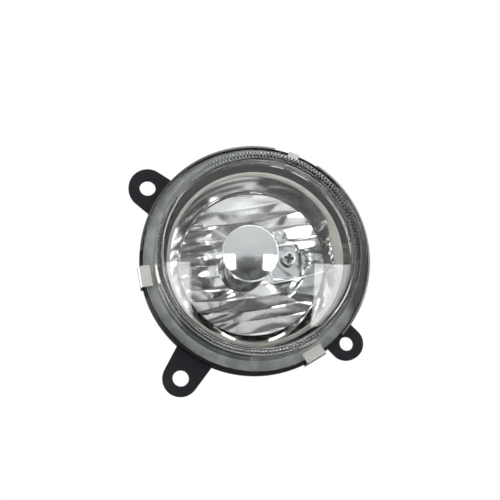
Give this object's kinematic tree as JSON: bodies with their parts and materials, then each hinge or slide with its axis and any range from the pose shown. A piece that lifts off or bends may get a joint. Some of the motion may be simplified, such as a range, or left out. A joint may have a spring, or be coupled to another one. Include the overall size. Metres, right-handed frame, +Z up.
{
  "type": "fog light",
  "caption": "Round front fog light: ribbed clear glass held by spring clips in a black housing with ears, fluted aimable reflector, chromed bulb shield and twist-lock bulb.",
  "frame": {"origin": "on the lamp's axis, in the plane of the rear faces of the three ears", "axes": "+Z up as fitted, lens facing -Y, +Y towards the car, +X to the right seen from the front"},
  "size_m": [0.0944, 0.0827, 0.0978],
  "materials": {
    "housing_plastic": "black moulded, satin, glossier on the rim",
    "front_glass": "clear pressed glass with a faint green edge",
    "seal_rubber": "matte black",
    "boot_rubber": "matte black",
    "spring_steel": "bright sheet steel",
    "aluminised": "mirror-bright vacuum aluminised face, grey moulding behind",
    "shield_chrome": "polished chrome",
    "zinc_screw": "bright zinc plate",
    "holder_plastic": "grey glass-filled",
    "bulb_plastic": "dark heat-proof plastic",
    "bulb_quartz": "clear quartz",
    "bulb_steel": "drawn stainless",
    "bulb_tungsten": "tungsten and molybdenum wire",
    "terminal_metal": "tinned",
    "oring_rubber": "red-brown silicone",
    "bearing_plastic": "natural acetal",
    "vent_rubber": "matte black",
    "vent_fabric": "white breathable film"
  },
  "bodies": {
    "housing": {"housing": "housing_plastic", "lens": "front_glass", "lens_seal": "seal_rubber", "clip_left": "spring_steel", "clip_lower": "spring_steel", "clip_upper": "spring_steel", "pivot_cup_left": "bearing_plastic", "pivot_cup_right": "bearing_plastic", "adjuster_bush": "bearing_plastic", "rear_boot": "boot_rubber", "boot_clamp": "spring_steel", "vent_membrane": "vent_fabric", "vent_cap": "vent_rubber"},
    "reflector": {"reflector": "aluminised", "bulb_shield": "shield_chrome", "shield_screw": "zinc_screw", "bulb_holder": "holder_plastic", "holder_screws": "zinc_screw"},
    "bulb": {"bulb_base": "bulb_plastic", "bulb_terminals": "terminal_metal", "bulb_seal": "oring_rubber", "bulb_metal_base": "bulb_steel", "bulb_glass": "bulb_quartz", "bulb_filament": "bulb_tungsten"},
    "adjuster_screw": {"adjuster_screw": "zinc_screw", "adjuster_retainer": "spring_steel"},
    "adjuster_nut": {"adjuster_nut": "bearing_plastic"}
  },
  "joints": [
    {"name": "reflector_tilt", "type": "hinge", "parent": "housing", "child": "reflector", "pos_m": [0, 0.008, 0], "axis": [1, 0, 0], "range_deg": [-2.5, 2.5], "deforming": ["rear_boot"]},
    {"name": "bulb_twist", "type": "hinge", "parent": "reflector", "child": "bulb", "pos_m": [-0.003, 0.035, 0.0008], "axis": [0, 1, 0], "range_deg": [0, 40]},
    {"name": "adjuster_turn", "type": "hinge", "parent": "housing", "child": "adjuster_screw", "pos_m": [0, 0.03, -0.036], "axis": [0, 1, 0], "range_deg": [-380, 380]},
    {"name": "adjuster_nut_slide", "type": "slide", "parent": "housing", "child": "adjuster_nut", "axis": [0, 1, 0], "range_m": [-0.0016, 0.0016]}
  ],
  "couplings": [
    {"joint": "adjuster_turn", "follows": "reflector_tilt", "ratio": -150.8},
    {"joint": "adjuster_nut_slide", "follows": "reflector_tilt", "m_per_rad": 0.036}
  ]
}
